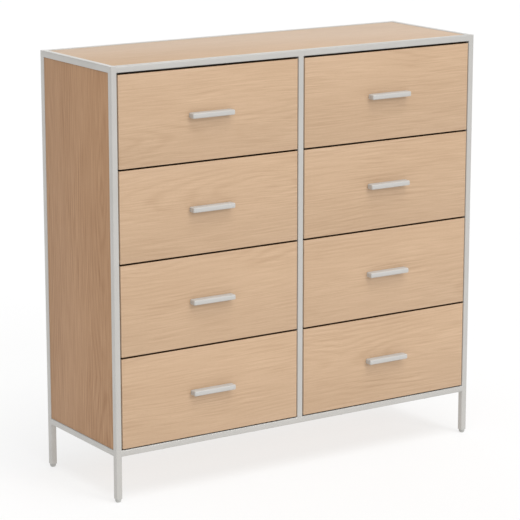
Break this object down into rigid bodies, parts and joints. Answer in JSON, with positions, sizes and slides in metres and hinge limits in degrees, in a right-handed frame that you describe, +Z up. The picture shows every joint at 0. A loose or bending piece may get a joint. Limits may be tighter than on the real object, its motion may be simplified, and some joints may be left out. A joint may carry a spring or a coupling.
{
  "type": "dresser with drawers",
  "caption": "Tall wide dresser: light-oak boards inset in a slim square-tube steel frame on legs, two columns of flush drawers with short box pulls, on channel runners.",
  "frame": {"origin": "on the floor, under the middle of the whole box of the dresser with its pulls", "axes": "+Z up; +X along the front towards the right-hand end as seen from the front; +Y from the drawer fronts towards the wall, so the drawers open towards -Y"},
  "size_m": [1.2, 0.414, 1.194],
  "materials": {
    "frame_coating": "satin light warm grey powder coat",
    "oak_laminate": "matt light oak laminate with fine straight grain",
    "drawer_board": "matt off-white lined board",
    "hardboard_back": "matt off-white painted hardboard",
    "runner_steel": "bright zinc plate",
    "glide_plastic": "moulded grey plastic"
  },
  "bodies": {
    "carcass": {"left_end_frame": "frame_coating", "right_end_frame": "frame_coating", "front_top_rail": "frame_coating", "front_bottom_rail": "frame_coating", "back_top_rail": "frame_coating", "back_bottom_rail": "frame_coating", "centre_stile": "frame_coating", "left_side_panel": "oak_laminate", "right_side_panel": "oak_laminate", "top_panel": "oak_laminate", "bottom_panel": "oak_laminate", "centre_partition": "oak_laminate", "left_back_panel": "hardboard_back", "right_back_panel": "hardboard_back", "front_left_glide": "glide_plastic", "front_right_glide": "glide_plastic", "back_left_glide": "glide_plastic", "back_right_glide": "glide_plastic", "outer_runner_left_1": "runner_steel", "inner_runner_left_1": "runner_steel", "outer_runner_left_2": "runner_steel", "inner_runner_left_2": "runner_steel", "outer_runner_left_3": "runner_steel", "inner_runner_left_3": "runner_steel", "outer_runner_left_4": "runner_steel", "inner_runner_left_4": "runner_steel", "outer_runner_right_1": "runner_steel", "inner_runner_right_1": "runner_steel", "outer_runner_right_2": "runner_steel", "inner_runner_right_2": "runner_steel", "outer_runner_right_3": "runner_steel", "inner_runner_right_3": "runner_steel", "outer_runner_right_4": "runner_steel", "inner_runner_right_4": "runner_steel"},
    "drawer_left_1": {"drawer_front_left_1": "oak_laminate", "drawer_box_left_1": "drawer_board", "drawer_pull_left_1": "frame_coating"},
    "drawer_left_2": {"drawer_front_left_2": "oak_laminate", "drawer_box_left_2": "drawer_board", "drawer_pull_left_2": "frame_coating"},
    "drawer_left_3": {"drawer_front_left_3": "oak_laminate", "drawer_box_left_3": "drawer_board", "drawer_pull_left_3": "frame_coating"},
    "drawer_left_4": {"drawer_front_left_4": "oak_laminate", "drawer_box_left_4": "drawer_board", "drawer_pull_left_4": "frame_coating"},
    "drawer_right_1": {"drawer_front_right_1": "oak_laminate", "drawer_box_right_1": "drawer_board", "drawer_pull_right_1": "frame_coating"},
    "drawer_right_2": {"drawer_front_right_2": "oak_laminate", "drawer_box_right_2": "drawer_board", "drawer_pull_right_2": "frame_coating"},
    "drawer_right_3": {"drawer_front_right_3": "oak_laminate", "drawer_box_right_3": "drawer_board", "drawer_pull_right_3": "frame_coating"},
    "drawer_right_4": {"drawer_front_right_4": "oak_laminate", "drawer_box_right_4": "drawer_board", "drawer_pull_right_4": "frame_coating"}
  },
  "joints": [
    {"name": "drawer_left_1_slide", "type": "slide", "parent": "carcass", "child": "drawer_left_1", "axis": [0, -1, 0], "range_m": [0, 0.27]},
    {"name": "drawer_left_2_slide", "type": "slide", "parent": "carcass", "child": "drawer_left_2", "axis": [0, -1, 0], "range_m": [0, 0.27]},
    {"name": "drawer_left_3_slide", "type": "slide", "parent": "carcass", "child": "drawer_left_3", "axis": [0, -1, 0], "range_m": [0, 0.27]},
    {"name": "drawer_left_4_slide", "type": "slide", "parent": "carcass", "child": "drawer_left_4", "axis": [0, -1, 0], "range_m": [0, 0.27]},
    {"name": "drawer_right_1_slide", "type": "slide", "parent": "carcass", "child": "drawer_right_1", "axis": [0, -1, 0], "range_m": [0, 0.27]},
    {"name": "drawer_right_2_slide", "type": "slide", "parent": "carcass", "child": "drawer_right_2", "axis": [0, -1, 0], "range_m": [0, 0.27]},
    {"name": "drawer_right_3_slide", "type": "slide", "parent": "carcass", "child": "drawer_right_3", "axis": [0, -1, 0], "range_m": [0, 0.27]},
    {"name": "drawer_right_4_slide", "type": "slide", "parent": "carcass", "child": "drawer_right_4", "axis": [0, -1, 0], "range_m": [0, 0.27]}
  ]
}
